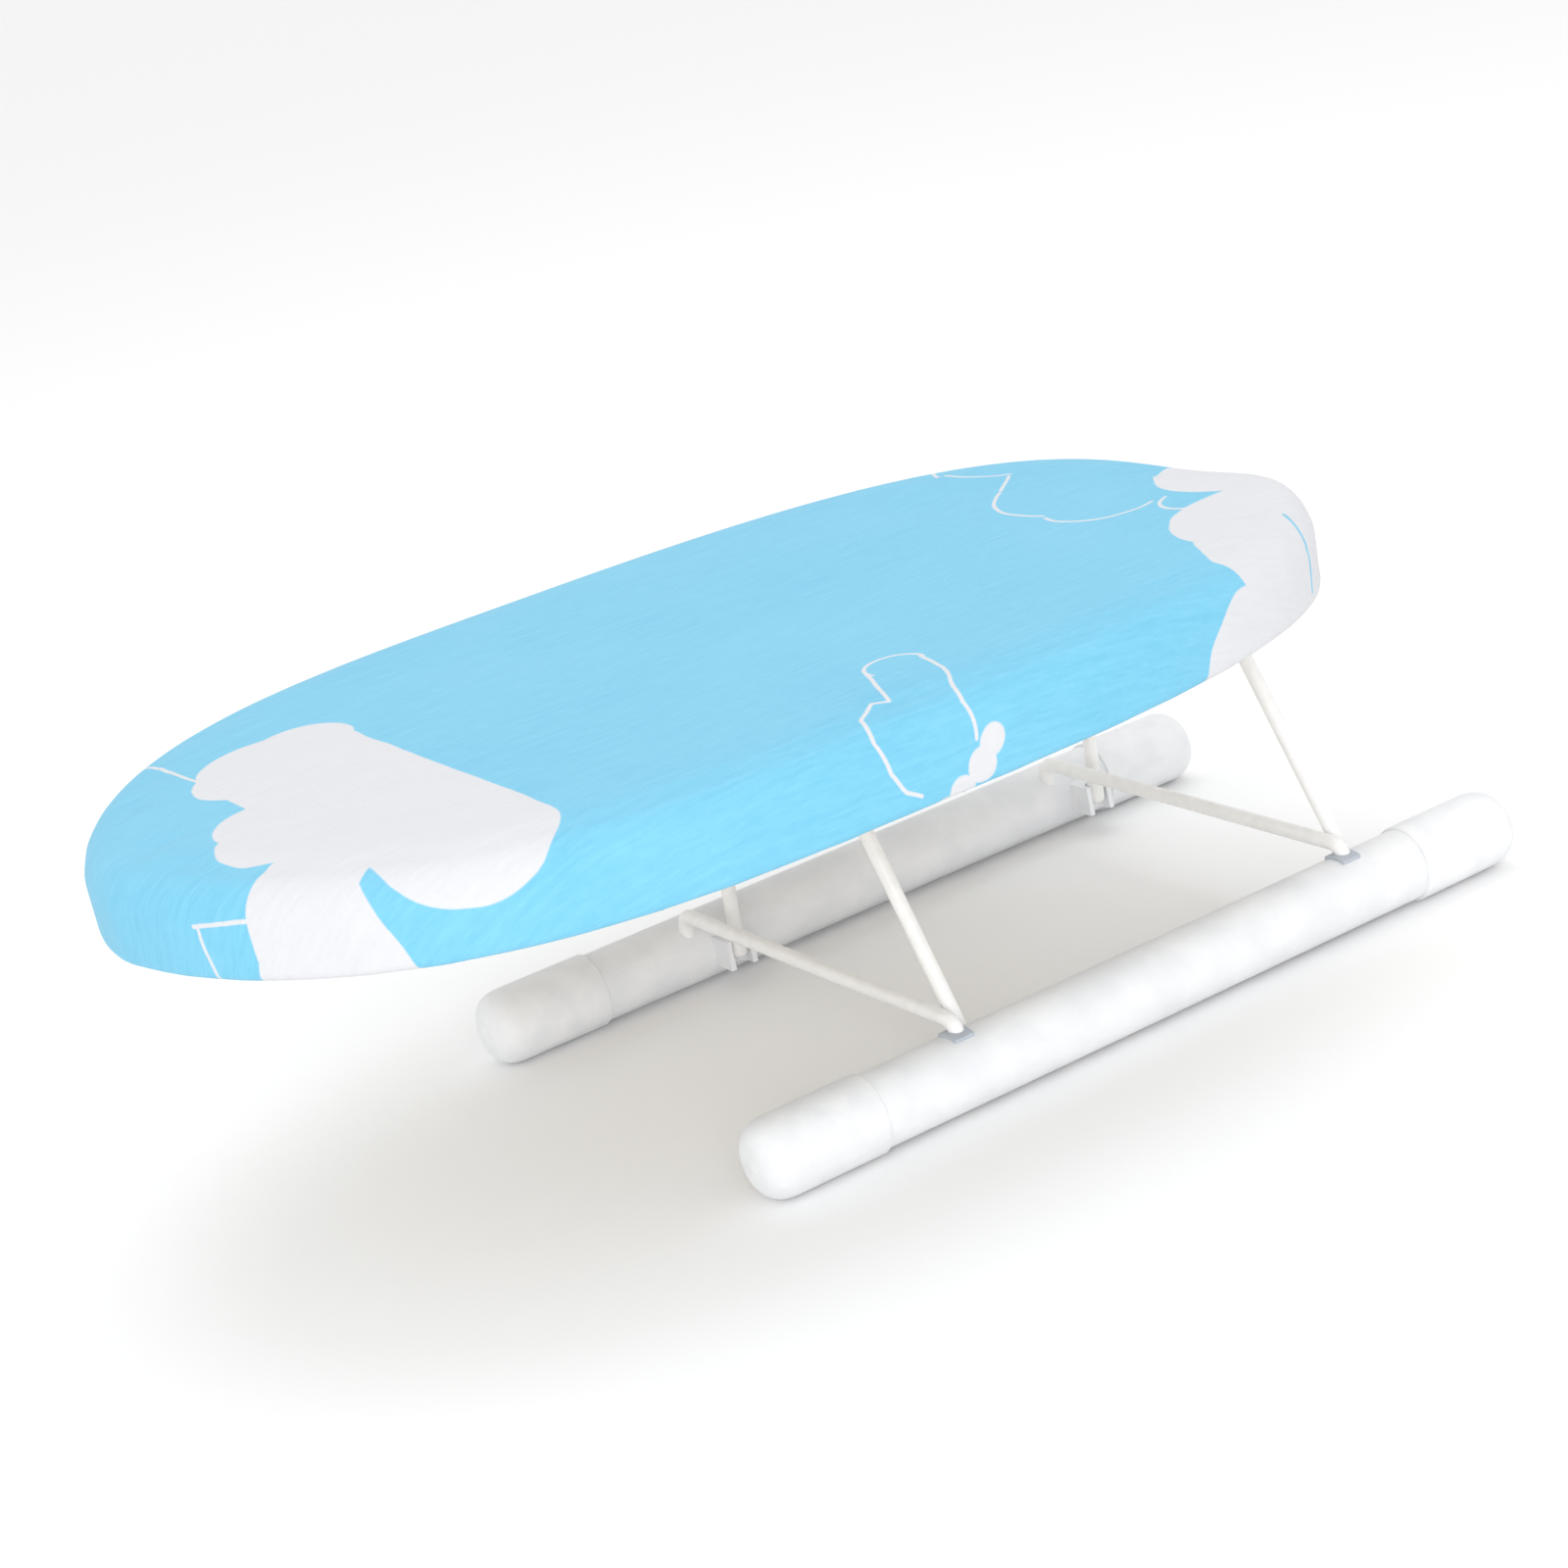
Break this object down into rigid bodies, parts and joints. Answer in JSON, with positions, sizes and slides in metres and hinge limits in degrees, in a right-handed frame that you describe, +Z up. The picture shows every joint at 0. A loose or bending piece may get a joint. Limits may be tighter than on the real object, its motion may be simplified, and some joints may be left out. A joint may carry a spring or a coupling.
{
  "type": "tabletop ironing board",
  "caption": "Padded tabletop ironing board with a tapered nose and blunt tail on a folding wire frame with tube feet.",
  "frame": {"origin": "middle of the object's box, on the floor that the two feet stand on", "axes": "+X from the board's nose to its blunt tail, along the feet; +Y from the hinged near foot to the far foot; +Z up"},
  "size_m": [0.6216, 0.36, 0.2],
  "materials": {
    "tube_plastic": "matt white moulded tube, faintly grained",
    "cap_plastic": "matt white moulded cap",
    "white_wire": "satin warm white powder coat on steel wire",
    "grey_fitting": "matt grey-blue moulded fitting",
    "soft_tip": "soft white vinyl cap",
    "screw_steel": "zinc-plated steel",
    "panel_board": "plain sanded particle board",
    "pad_foam": null,
    "cloud_cotton": "printed cotton, sky blue with pale grey-white cloud shapes",
    "white_elastic": "woven elastic"
  },
  "bodies": {
    "base": {"near_foot_tube": "tube_plastic", "far_foot_tube": "tube_plastic", "near_nose_end_cap": "cap_plastic", "near_tail_end_cap": "cap_plastic", "far_nose_end_cap": "cap_plastic", "far_tail_end_cap": "cap_plastic", "nose_side_stay": "white_wire", "tail_side_stay": "white_wire", "nose_side_stay_saddle": "grey_fitting", "tail_side_stay_saddle": "grey_fitting", "nose_side_leg_bearing": "grey_fitting", "tail_side_leg_bearing": "grey_fitting", "bearing_screws": "screw_steel", "nose_side_strut_fork": "cap_plastic", "tail_side_strut_fork": "cap_plastic"},
    "leg_frame": {"leg_frame": "white_wire", "hinge_push_caps": "grey_fitting"},
    "board": {"board_panel": "panel_board", "foam_pad": "pad_foam", "fabric_cover": "cloud_cotton", "hem_elastic": "white_elastic", "nose_side_leg_block": "grey_fitting", "tail_side_leg_block": "grey_fitting", "nose_side_strut_block": "grey_fitting", "tail_side_strut_block": "grey_fitting", "leg_block_screws": "screw_steel", "strut_block_screws": "screw_steel"},
    "strut_frame": {"strut_frame": "white_wire", "strut_tip_caps": "soft_tip"}
  },
  "joints": [
    {"name": "leg_fold", "type": "hinge", "parent": "base", "child": "leg_frame", "pos_m": [0, -0.1115, 0.02525], "axis": [-1, 0, 0], "range_deg": [0, 51.42]},
    {"name": "board_level", "type": "hinge", "parent": "leg_frame", "child": "board", "pos_m": [0, -0.04451, 0.1461], "axis": [1, 0, 0], "range_deg": [0, 51.44]},
    {"name": "strut_fold", "type": "hinge", "parent": "board", "child": "strut_frame", "pos_m": [0, 0.08, 0.1541], "axis": [-1, 0, 0], "range_deg": [0, 95.55]}
  ],
  "couplings": [
    {"joint": "board_level", "follows": "leg_fold", "ratio": 1},
    {"joint": "strut_fold", "follows": "leg_fold", "ratio": 1.8573}
  ]
}
